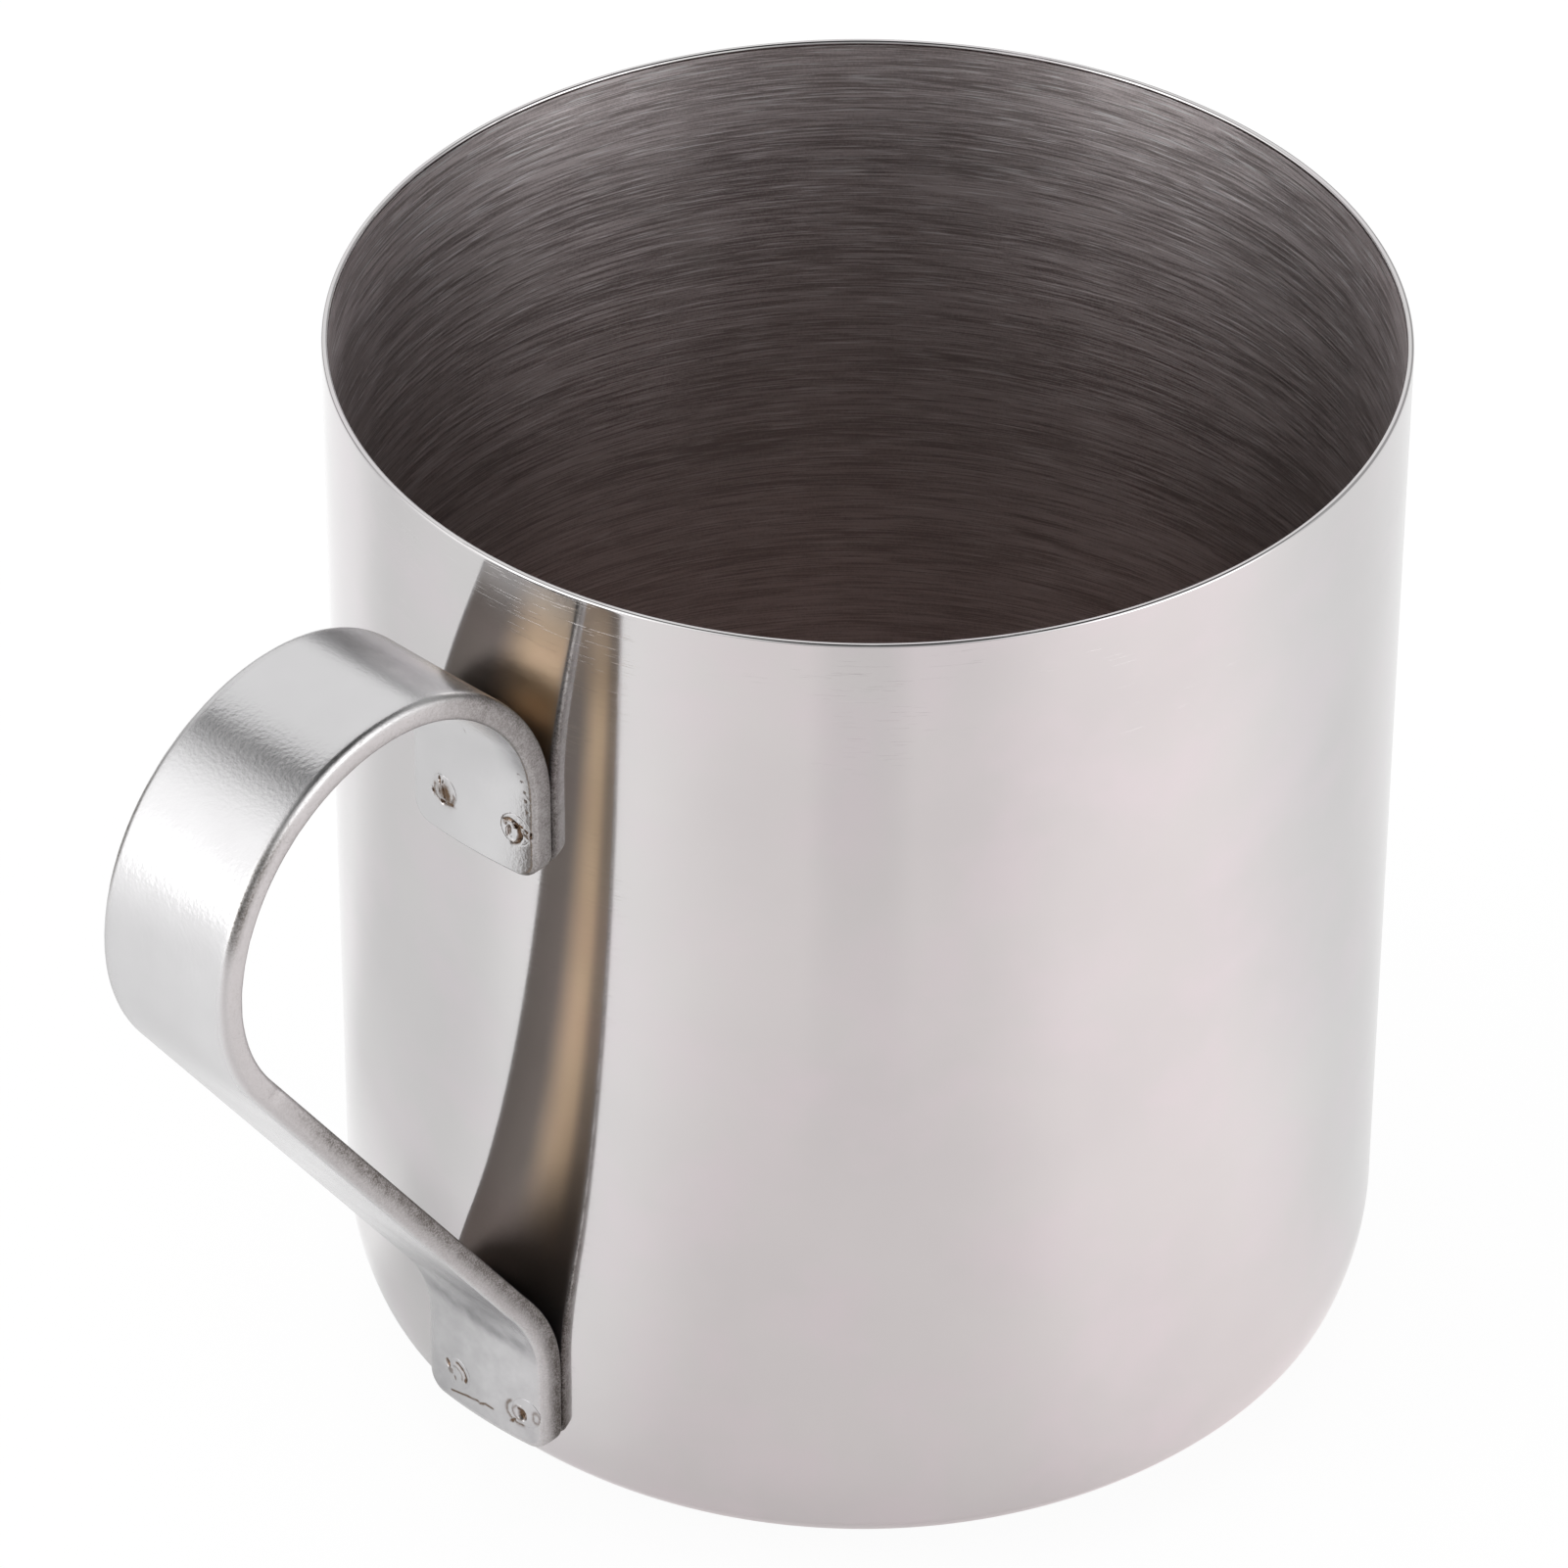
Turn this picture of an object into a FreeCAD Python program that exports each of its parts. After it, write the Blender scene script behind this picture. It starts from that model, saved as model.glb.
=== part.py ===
import FreeCAD, Part
import math
import os

# Milk frothing pitcher: a drawn sheet steel cup with a bent strap handle spot welded to its wall.
# Millimetres. The origin is the centre of the base on the standing plane, +Z is up and the handle
# points towards -X. Left and right are as seen by someone who faces the handle, so left is +Y.

# Cup
cup_diameter = 80.0
cup_height = 88.0
wall = 0.5
rim_round = 0.2          # easing of the rim's two cut edges

# Base corner of the cup, outside, from the wall down to the floor: three arcs in a row
draw_in_radius = 16.0
draw_in_turn = 20.0      # degrees
knuckle_radius = 2.0
knuckle_turn = 18.0
heel_radius = 14.3

# Floor of the cup: a flat ring that it stands on and a panel raised inside it
foot_ring_width = 4.0
panel_rise = 1.0
panel_step_radius = 1.6

# Handle strap
strap_width = 12.4
strap_thickness = 2.0
handle_reach = 32.4      # from the cup's wall to the outermost face of the strap
handle_below_rim = 3.0   # from the rim down to the top of the strap
neck_radius = 15.2       # bend above the upper tab, wall side face
crown_flat = 0.2         # between the neck bend and the crown bend
elbow_radius = 15.5      # bend below the crown, outer face
instep_radius = 12.5     # bend above the lower tab, outer face
upper_tab_length = 6.8   # straight part below the neck bend
lower_tab_length = 7.5   # straight part below the instep bend
lower_tab_end = 8.7      # height of the strap's lower end above the standing plane
tab_corner = 1.7
strap_edge_round = 0.35

# Spot welds: a nugget through each tab and half of the wall
nugget_diameter = 2.6
nugget_sink = 0.1        # how far its end lies under the tab's face
weld_from_tab_end = {"upper": 4.1, "lower": 3.4}
weld_from_tab_side = {"left": 3.6, "right": 1.75}

# Sizes that follow from the ones above
cup_radius = cup_diameter / 2
crown_radius = handle_reach - neck_radius - crown_flat
upper_tab_end = cup_height - handle_below_rim - neck_radius - upper_tab_length
tab_ends = {"upper": upper_tab_end, "lower": lower_tab_end}
outward = {"left": 1, "right": -1}

tiny = 0.01
nearly_square = 0.5      # cosine of the angle between two faces
sweep_margin = 1.3       # the strap is turned this much wider than needed, then cut to its width
axis_point = FreeCAD.Vector(0, 0, 0)
up = FreeCAD.Vector(0, 0, 1)


def along(heading, distance):
    """Vector of a length along a heading in the XZ plane, in degrees from +X towards +Z."""
    angle = math.radians(heading)
    return FreeCAD.Vector(distance * math.cos(angle), 0, distance * math.sin(angle))


def sheet_side(start, heading, moves, offset):
    """Edges of one side of a bent sheet, offset to the left of its path.

    A move is a straight length, then a bend as a radius on the path and a turn, plus to the left.
    """
    edges = []
    point = start + along(heading + 90, offset)
    for length, radius, turn in moves:
        if length > 0:
            ahead = point + along(heading, length)
            edges.append(Part.LineSegment(point, ahead).toShape())
            point = ahead
        if turn:
            side = math.copysign(1, turn)
            bend = radius - side * offset
            centre = point + along(heading + 90 * side, bend)
            middle = centre + along(heading - 90 * side + turn / 2, bend)
            end = centre + along(heading - 90 * side + turn, bend)
            edges.append(Part.Arc(point, middle, end).toShape())
            point = end
            heading += turn
    return edges


def sheet_section(start, heading, moves, thickness):
    """Face between a bent sheet's path and the same path offset to its left."""
    near = sheet_side(start, heading, moves, 0)
    far = sheet_side(start, heading, moves, thickness)
    ends = [
        Part.LineSegment(near[0].firstVertex().Point, far[0].firstVertex().Point).toShape(),
        Part.LineSegment(near[-1].lastVertex().Point, far[-1].lastVertex().Point).toShape(),
    ]
    outline = Part.Wire(Part.__sortEdges__(near + far + ends))
    return Part.Face(outline)


def make_cup():
    """Drawn cup of one sheet thickness, turned about Z."""
    heel_turn = 90 - knuckle_turn - draw_in_turn
    corner = [(heel_radius, heel_turn), (knuckle_radius, knuckle_turn), (draw_in_radius, draw_in_turn)]
    corner_run = 0
    corner_height = 0
    heading = 0
    for radius, turn in corner:
        before = math.radians(heading)
        after = math.radians(heading + turn)
        corner_run += radius * (math.sin(after) - math.sin(before))
        corner_height += radius * (math.cos(before) - math.cos(after))
        heading += turn
    # The step from the panel down to the ring is two equal bends, on the underside and the path
    step_turn = math.degrees(math.acos(1 - panel_rise / (2 * panel_step_radius)))
    step_run = 2 * panel_step_radius * math.sin(math.radians(step_turn))
    panel_radius = cup_radius - corner_run - foot_ring_width - step_run
    moves = [
        (panel_radius, panel_step_radius, -step_turn),
        (0, panel_step_radius, step_turn),
        (foot_ring_width, heel_radius, heel_turn),
        (0, knuckle_radius, knuckle_turn),
        (0, draw_in_radius, draw_in_turn),
        (cup_height - corner_height, 0, 0),
    ]
    section = sheet_section(FreeCAD.Vector(0, 0, panel_rise), 0, moves, wall)
    cup = section.revolve(axis_point, up, 360)
    rim_edges = [edge for edge in cup.Edges if edge.BoundBox.ZMin > cup_height - wall / 2]
    return cup.makeFillet(rim_round, rim_edges)


def handle_moves():
    """Path of the strap's outer loop face, from the upper tab's end to the lower tab's end."""
    elbow_height = cup_height - handle_below_rim - crown_radius
    instep_height = lower_tab_end + lower_tab_length
    radii = elbow_radius + instep_radius
    # Straight arm between the two opposite bends: their centres' offsets give its lean and length
    sideways = handle_reach - strap_thickness - radii
    downwards = elbow_height - instep_height
    arm_length = math.sqrt(sideways ** 2 + downwards ** 2 - radii ** 2)
    lean = math.degrees(math.atan2(sideways, downwards) + math.atan2(radii, arm_length))
    return [
        (upper_tab_length, neck_radius, -90),
        (crown_flat, crown_radius, -90),
        (0, elbow_radius, -lean),
        (arm_length, instep_radius, lean),
        (lower_tab_length, 0, 0),
    ]


def is_tab_corner(edge):
    """Whether an edge is one of the four that cross the strap's thickness at its ends."""
    box = edge.BoundBox
    at_side = abs(abs(box.Center.y) - strap_width / 2) < tiny
    at_end = min(abs(box.Center.z - end) for end in tab_ends.values()) < tiny
    return at_side and at_end and box.YLength < tiny and box.ZLength < tiny


def sharp_edges(shape):
    """Edges where two faces meet at nearly a right angle."""
    found = []
    for edge in shape.Edges:
        middle = edge.valueAt((edge.FirstParameter + edge.LastParameter) / 2)
        faces = shape.ancestorsOfType(edge, Part.Face)
        normals = [face.normalAt(*face.Surface.parameter(middle)) for face in faces]
        if len(normals) == 2 and abs(normals[0].dot(normals[1])) < nearly_square:
            found.append(edge)
    return found


def make_strap():
    """Bent strap, its tabs formed to the cup's wall: it is turned about Z and cut to its width."""
    start = FreeCAD.Vector(cup_radius, 0, upper_tab_end)
    section = sheet_section(start, 90, handle_moves(), -strap_thickness)
    half_sweep = sweep_margin * math.degrees(math.asin(strap_width / 2 / cup_radius))
    section.rotate(axis_point, up, 180 - half_sweep)
    strap = section.revolve(axis_point, up, 2 * half_sweep)
    reach = cup_radius + handle_reach + strap_width
    slab = Part.makeBox(reach, strap_width, cup_height, FreeCAD.Vector(-reach, -strap_width / 2, 0))
    strap = strap.common(slab)
    corners = [edge for edge in strap.Edges if is_tab_corner(edge)]
    strap = strap.makeFillet(tab_corner, corners)
    return strap.makeFillet(strap_edge_round, sharp_edges(strap))


def make_nugget(tab, side):
    """Weld nugget: a plug along the cup's radius, from half way into the wall to the tab's face."""
    inner = cup_radius - wall / 2
    outer = cup_radius + strap_thickness - nugget_sink
    aside = outward[side] * (strap_width / 2 - weld_from_tab_side[side])
    height = tab_ends[tab] + weld_from_tab_end[tab]
    angle = math.pi - math.asin(aside / cup_radius)
    radial = FreeCAD.Vector(math.cos(angle), math.sin(angle), 0)
    foot = radial * inner + up * height
    return Part.makeCylinder(nugget_diameter / 2, outer - inner, foot, radial)


def weld_hole(tab, side):
    """Hole through a tab and half of the wall, open past the tab's face."""
    nugget = make_nugget(tab, side)
    face = max(nugget.Faces, key=lambda piece: piece.CenterOfMass.x * piece.CenterOfMass.x)
    return nugget.fuse(face.extrude(face.normalAt(0, 0) * strap_thickness))


def main():
    os.makedirs("parts", exist_ok=True)
    pieces = {"cup_shell": make_cup(), "handle_strap": make_strap()}
    for tab in tab_ends:
        for side in outward:
            hole = weld_hole(tab, side)
            pieces["cup_shell"] = pieces["cup_shell"].cut(hole)
            pieces["handle_strap"] = pieces["handle_strap"].cut(hole)
            pieces[f"{tab}_{side}_spot_weld"] = make_nugget(tab, side)
    for node, shape in pieces.items():
        shape.exportStep(f"parts/{node}.step")
        box = shape.BoundBox
        print(f"{node}: {len(shape.Solids)} solid, valid {shape.isValid()}, {shape.Volume:.1f} mm3,",
              f"x {box.XMin:.2f} {box.XMax:.2f} y {box.YMin:.2f} {box.YMax:.2f} z {box.ZMin:.2f} {box.ZMax:.2f}")


main()
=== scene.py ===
import math
import bpy
from mathutils import Matrix, Vector, noise


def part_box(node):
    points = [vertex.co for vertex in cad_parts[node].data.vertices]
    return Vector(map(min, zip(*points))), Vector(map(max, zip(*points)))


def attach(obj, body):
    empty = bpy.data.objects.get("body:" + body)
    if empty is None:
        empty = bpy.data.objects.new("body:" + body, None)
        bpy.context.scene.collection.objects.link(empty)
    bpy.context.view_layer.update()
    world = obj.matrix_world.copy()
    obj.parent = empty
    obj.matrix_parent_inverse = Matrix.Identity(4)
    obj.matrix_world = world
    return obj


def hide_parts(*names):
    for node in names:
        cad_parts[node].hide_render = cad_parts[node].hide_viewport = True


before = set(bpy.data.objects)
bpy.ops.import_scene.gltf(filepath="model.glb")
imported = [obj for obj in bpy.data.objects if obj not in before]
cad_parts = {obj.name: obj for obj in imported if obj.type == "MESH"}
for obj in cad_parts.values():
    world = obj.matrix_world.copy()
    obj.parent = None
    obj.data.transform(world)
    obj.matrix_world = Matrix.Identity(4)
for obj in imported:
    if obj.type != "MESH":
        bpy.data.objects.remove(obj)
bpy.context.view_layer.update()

scene = bpy.context.scene
mm = 0.001


# Small helpers for building meshes

def smoothStep(value):
    value = min(max(value, 0.0), 1.0)
    return value * value * (3 - 2 * value)


# From 0 to 1, beginning at a start and taking a length
def setsIn(place, start, length):
    return smoothStep((place - start) / length)


# And from 1 to 0
def runsOut(place, start, length):
    return 1 - smoothStep((place - start) / length)


# Noise in three layers, each twice as fine and half as strong as the one before
def layeredNoise(place):
    return noise.fractal(place, 1.0, 2.0, 3)


def meshPiece(name, points, faces):
    mesh = bpy.data.meshes.new(name)
    mesh.from_pydata([(x * mm, y * mm, z * mm) for x, y, z in points], [], faces)
    mesh.update()
    mesh.polygons.foreach_set("use_smooth", [True] * len(mesh.polygons))
    piece = bpy.data.objects.new(name, mesh)
    scene.collection.objects.link(piece)
    return piece


def headingVector(heading):
    return Vector((math.cos(math.radians(heading)), math.sin(math.radians(heading))))


# Unit vector towards an azimuth from +X towards +Y and an elevation, in degrees
def skyVector(azimuth, elevation):
    turn, rise = math.radians(azimuth), math.radians(elevation)
    return Vector((math.cos(turn) * math.cos(rise), math.sin(turn) * math.cos(rise), math.sin(rise)))


# Walks straight lengths and tangent bends: gives (distance, point, heading) all along
def samplePath(moves, start, heading, runStep, bendStep):
    stations = [(0.0, Vector(start), heading)]
    travelled = 0.0
    point = Vector(start)
    for length, radius, turn in moves:
        if length > 0:
            count = max(1, math.ceil(length / runStep))
            ahead = headingVector(heading)
            for i in range(1, count + 1):
                gone = length * i / count
                stations.append((travelled + gone, point + ahead * gone, heading))
            point = point + ahead * length
            travelled += length
        if turn:
            side = math.copysign(1, turn)
            centre = point + headingVector(heading + 90 * side) * radius
            arc = math.radians(abs(turn)) * radius
            count = max(2, math.ceil(arc / bendStep))
            for i in range(1, count + 1):
                swing = turn * i / count
                place = centre + Matrix.Rotation(math.radians(swing), 2) @ (point - centre)
                stations.append((travelled + arc * i / count, place, heading + swing))
            point = stations[-1][1]
            heading += turn
            travelled += arc
    return stations


# Camera at the photo's viewing angle, solved from the outline of the cup

cameraSetup = {
    "azimuth": -137.1,      # degrees, of the camera as seen from the pitcher
    "elevation": 36.66,
    "distance": 670.2,      # mm from the point it looks at
    "aim": (-4.06, 4.37, 46.25),
    "roll": 0.26,
    "lens": 202.33,         # mm, and so is the sensor
    "sensor": 36,
    "clip": (0.01, 50),     # metres
}


def placeCamera():
    back = skyVector(cameraSetup["azimuth"], cameraSetup["elevation"])
    data = bpy.data.cameras.new("photoCamera")
    data.lens = cameraSetup["lens"]
    data.sensor_width = cameraSetup["sensor"]
    data.clip_start, data.clip_end = cameraSetup["clip"]
    camera = bpy.data.objects.new("photoCamera", data)
    scene.collection.objects.link(camera)
    camera.location = (Vector(cameraSetup["aim"]) + back * cameraSetup["distance"]) * mm
    camera.rotation_mode = "QUATERNION"
    upright = (-back).to_track_quat("-Z", "Y")
    roll = Matrix.Rotation(math.radians(cameraSetup["roll"]), 3, "Z")
    camera.rotation_quaternion = upright @ roll.to_quaternion()
    scene.camera = camera


# Node helpers

def newMaterial(name):
    material = bpy.data.materials.new(name)
    material.use_nodes = True
    tree = material.node_tree
    return material, tree, tree.nodes["Principled BSDF"]


def mathNode(tree, operation, first, second=None, third=None, clamp=False):
    node = tree.nodes.new("ShaderNodeMath")
    node.operation = operation
    node.use_clamp = clamp
    for socket, value in zip(node.inputs, (first, second, third)):
        if value is None:
            continue
        if isinstance(value, (int, float)):
            socket.default_value = value
        else:
            tree.links.new(value, socket)
    return node.outputs[0]


# Vector maths, whose second value is a number, a fixed vector or a socket
def vectorNode(tree, operation, first, second=None):
    node = tree.nodes.new("ShaderNodeVectorMath")
    node.operation = operation
    tree.links.new(first, node.inputs[0])
    socket = node.inputs["Scale"] if operation == "SCALE" else node.inputs[1]
    if isinstance(second, (int, float, tuple)):
        socket.default_value = second
    elif second is not None:
        tree.links.new(second, socket)
    return node.outputs["Value"] if operation in ("LENGTH", "DOT_PRODUCT") else node.outputs[0]


# Object coordinates in millimetres, whole and split
def objectPlace(tree):
    coords = tree.nodes.new("ShaderNodeTexCoord")
    place = vectorNode(tree, "SCALE", coords.outputs["Object"], 1 / mm)
    split = tree.nodes.new("ShaderNodeSeparateXYZ")
    tree.links.new(place, split.inputs[0])
    return place, split.outputs[0], split.outputs[1], split.outputs[2]


def joinPlace(tree, x, y, z):
    join = tree.nodes.new("ShaderNodeCombineXYZ")
    for socket, value in zip(join.inputs, (x, y, z)):
        tree.links.new(value, socket)
    return join.outputs[0]


def noiseNode(tree, place, scale=1.0, detail=2.0, rough=0.5):
    node = tree.nodes.new("ShaderNodeTexNoise")
    node.inputs["Scale"].default_value = scale
    node.inputs["Detail"].default_value = detail
    node.inputs["Roughness"].default_value = rough
    tree.links.new(place, node.inputs["Vector"])
    return node.outputs["Fac"]


def rampNode(tree, value, low, high, outLow, outHigh):
    node = tree.nodes.new("ShaderNodeMapRange")
    for name, amount in (("From Min", low), ("From Max", high), ("To Min", outLow), ("To Max", outHigh)):
        node.inputs[name].default_value = amount
    tree.links.new(value, node.inputs["Value"])
    return node.outputs[0]


# One colour turning into another, each of them fixed or from a socket
def mixColor(tree, factor, first, second):
    node = tree.nodes.new("ShaderNodeMix")
    node.data_type = "RGBA"
    tree.links.new(factor, node.inputs["Factor"])
    for socket, color in ((node.inputs[6], first), (node.inputs[7], second)):
        if isinstance(color, tuple):
            socket.default_value = (*color, 1)
        else:
            tree.links.new(color, socket)
    return node.outputs[2]


def attributeNode(tree, name):
    node = tree.nodes.new("ShaderNodeAttribute")
    node.attribute_name = name
    return node.outputs["Fac"]


# Bump whose height of 1 stands for a depth in millimetres
def bumpNode(tree, height, depth, before=None):
    node = tree.nodes.new("ShaderNodeBump")
    node.inputs["Strength"].default_value = 1.0
    node.inputs["Distance"].default_value = depth * mm
    tree.links.new(height, node.inputs["Height"])
    if before is not None:
        tree.links.new(before, node.inputs["Normal"])
    return node.outputs[0]


# Place for brush strokes that run round the cup: long round the axis, fine up the wall and over the floor
def roundTheCup(tree, alongStroke, acrossStroke):
    place, x, y, z = objectPlace(tree)
    squares = mathNode(tree, "ADD", mathNode(tree, "MULTIPLY", x, x), mathNode(tree, "MULTIPLY", y, y))
    rise = mathNode(tree, "ADD", z, mathNode(tree, "SQRT", squares))
    strokes = joinPlace(
        tree,
        mathNode(tree, "MULTIPLY", x, alongStroke),
        mathNode(tree, "MULTIPLY", y, alongStroke),
        mathNode(tree, "MULTIPLY", rise, acrossStroke),
    )
    return place, strokes, z


# Steel finishes. A noise is given as scale, detail and roughness, and the levels between which it is
# used, and strokes as how fast they change along and across

outerFinish = {
    "light": (0.645, 0.632, 0.63),
    "dark": (0.605, 0.588, 0.592),
    "blush": (0.665, 0.615, 0.64),
    "blushAmount": 0.5,
    "roughness": (0.055, 0.10),
    "brushDepth": 0.0009,   # mm
    "scratchDepth": 0.008,
    "scratchZone": (68, 86, 0.25, 1),  # heights, and how much of the fine scratches there is at them
    "strokes": (0.02, 1.6),
    "cloud": (0.045, 3, 0.5),
    "cloudLevels": (0.3, 0.7),
    "blushNoise": (0.13, 3, 0.55),
    "blushLevels": (0.45, 0.68),
    "streaks": (4.0, 4, 0.6),
    "streakLevels": (0.35, 0.65),
    "lines": (9.0, 2, 0.5),
    "lineLevels": (0.64, 0.72),
    "linePatches": (0.12, 2, 0.5),
    "patchLevels": (0.42, 0.62),
}

innerFinish = {
    "light": (0.655, 0.588, 0.58),
    "dark": (0.41, 0.362, 0.352),
    "glint": (0.92, 0.88, 0.88),
    "glintZone": (35, 86, 0.3, 1.0),     # heights, and how strong the glints are at them
    "deepShade": (55, 76, 0.77, 0.92),   # painted shade: the same for how bright the steel is, darkest part way down
    "bottomShade": (34, 55, 0.2, 0.0),   # painted light near the cup's floor, added to that
    "rimShade": (78, 88, 0.0, 0.52),     # and painted light towards the rim
    # Painted colour of light bounced inside the cup: warmer deep down, cooler at the rim
    "deepTint": (1.03, 0.985, 0.965),
    "rimTint": (0.975, 1.0, 1.02),
    "tintZone": (40, 84),
    "roughness": (0.36, 0.46),
    "brushDepth": 0.005,
    "anisotropy": 0.7,
    "anisotropyTurn": 0.25,  # a quarter turn puts the spread across the strokes
    "strokes": (0.02, 1.0),
    "fine": (8.5, 3, 0.6),
    "fineLevels": (0.35, 0.65),
    "bandStrokes": (0.05, 1.0),
    "bands": (0.35, 3, 0.6),
    "grain": (5.0, 2, 0.6),
    "shares": (0.6, 0.28, 0.15),         # of fine strokes, bands and grain
    "shareLevels": (0.44, 0.57),
    "glintStrokes": (0.03, 1.0),
    "glints": (8.0, 2, 0.5),
    "glintLevels": (0.57, 0.68),
}

strapFinish = {
    "light": (0.655, 0.65, 0.656),
    "dark": (0.612, 0.605, 0.612),
    "paintedArmLight": (64, 48, 1.0, 1.13),  # painted light: heights between which the arm gets brighter, and how much
    "gold": (0.86, 0.665, 0.455),      # heat tint inside the loop, on the side of the right edge
    "brown": (0.29, 0.262, 0.238),     # and on the other side
    "worn": (0.58, 0.572, 0.57),       # edges
    "sootAndShadeColor": (0.12, 0.108, 0.095),     # their darker stretches, partly soot, partly painted shade
    "dullAndShade": (0.22, 0.217, 0.226),      # dull on the neck; on the bend above the lower tab and the tab, partly dull, partly painted shade
    "burnt": (0.13, 0.085, 0.055),
    "roughness": (0.17, 0.25),
    "wornRoughness": 0.34,
    "tintedRoughness": 0.13,           # added where it is tinted
    "peelDepth": 0.013,
    "grainDepth": 0.003,
    "pitDepth": 0.012,
    "marks": ("straw", "gold", "worn", "sootAndShade", "dullAndShade", "burn"),  # amounts stored on the mesh
    "cloud": (0.16, 3, 0.5),
    "cloudLevels": (0.3, 0.7),
    "peel": (3.2, 2, 0.5),
    "grain": (9.0, 2, 0.6),
    "speck": (6.5, 3, 0.65),
    "smudge": (0.9, 3, 0.6),
    "blotch": (0.55, 4, 0.6),
    # How much of a mark shows at a low and at a high level of a noise
    "dullAndShadeBlotches": (0.35, 0.65, 0.75, 1.12),
    "wornSpecks": (0.38, 0.6, 1.0, 0.5),
    "sootAndShadeSpecks": (0.36, 0.62, 1.15, 0.6),
    "sootAndShadeSmudges": (0.35, 0.65, 1.15, 0.85),
    "burntSpecks": (0.3, 0.6, 1.25, 0.75),
    "pitSpecks": (0.30, 0.42, 0, 1),
}


def outerSteel():
    finish = outerFinish
    material, tree, shader = newMaterial("outerSteel")
    place, strokes, z = roundTheCup(tree, *finish["strokes"])
    shade = rampNode(tree, noiseNode(tree, place, *finish["cloud"]), *finish["cloudLevels"], 0, 1)
    steel = mixColor(tree, shade, finish["dark"], finish["light"])
    blush = noiseNode(tree, place, *finish["blushNoise"])
    blush = rampNode(tree, blush, *finish["blushLevels"], 0, finish["blushAmount"])
    tree.links.new(mixColor(tree, blush, steel, finish["blush"]), shader.inputs["Base Color"])
    streaks = noiseNode(tree, strokes, *finish["streaks"])
    rough = rampNode(tree, streaks, *finish["streakLevels"], *finish["roughness"])
    tree.links.new(rough, shader.inputs["Roughness"])
    brushed = bumpNode(tree, streaks, finish["brushDepth"])
    lines = rampNode(tree, noiseNode(tree, strokes, *finish["lines"]), *finish["lineLevels"], 0, 1)
    nearRim = rampNode(tree, z, *finish["scratchZone"])
    patchy = rampNode(tree, noiseNode(tree, place, *finish["linePatches"]), *finish["patchLevels"], 0, 1)
    scratches = mathNode(tree, "MULTIPLY", mathNode(tree, "MULTIPLY", lines, nearRim), patchy)
    relief = bumpNode(tree, scratches, -finish["scratchDepth"], before=brushed)
    tree.links.new(relief, shader.inputs["Normal"])
    shader.inputs["Metallic"].default_value = 1
    return material


def innerSteel():
    finish = innerFinish
    material, tree, shader = newMaterial("innerSteel")
    place, strokes, z = roundTheCup(tree, *finish["strokes"])
    fine = noiseNode(tree, strokes, *finish["fine"])
    bands = noiseNode(tree, roundTheCup(tree, *finish["bandStrokes"])[1], *finish["bands"])
    grain = noiseNode(tree, place, *finish["grain"])
    brushed = 0.0
    for noisy, share in zip((fine, bands, grain), finish["shares"]):
        brushed = mathNode(tree, "MULTIPLY_ADD", noisy, share, brushed)
    steel = rampNode(tree, brushed, *finish["shareLevels"], 0, 1)
    steel = mixColor(tree, steel, finish["dark"], finish["light"])
    glints = noiseNode(tree, roundTheCup(tree, *finish["glintStrokes"])[1], *finish["glints"])
    glints = rampNode(tree, glints, *finish["glintLevels"], 0, 1)
    glints = mathNode(tree, "MULTIPLY", glints, rampNode(tree, z, *finish["glintZone"]))
    steel = mixColor(tree, glints, steel, finish["glint"])
    # Painted shade and light by height, and the painted warmth of bounced light deep in the cup
    shade = rampNode(tree, z, *finish["deepShade"])
    for key in ("bottomShade", "rimShade"):
        shade = mathNode(tree, "ADD", shade, rampNode(tree, z, *finish[key]))
    tint = rampNode(tree, z, *finish["tintZone"], 0, 1)
    tint = mixColor(tree, tint, finish["deepTint"], finish["rimTint"])
    steel = vectorNode(tree, "MULTIPLY", vectorNode(tree, "SCALE", steel, shade), tint)
    tree.links.new(steel, shader.inputs["Base Color"])
    rough = rampNode(tree, fine, *finish["fineLevels"], *finish["roughness"])
    tree.links.new(rough, shader.inputs["Roughness"])
    tree.links.new(bumpNode(tree, brushed, finish["brushDepth"]), shader.inputs["Normal"])
    tangent = tree.nodes.new("ShaderNodeTangent")
    tangent.direction_type = "RADIAL"
    tangent.axis = "Z"
    tree.links.new(tangent.outputs[0], shader.inputs["Tangent"])
    shader.inputs["Anisotropic"].default_value = finish["anisotropy"]
    shader.inputs["Anisotropic Rotation"].default_value = finish["anisotropyTurn"]
    shader.inputs["Metallic"].default_value = 1
    return material
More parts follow.
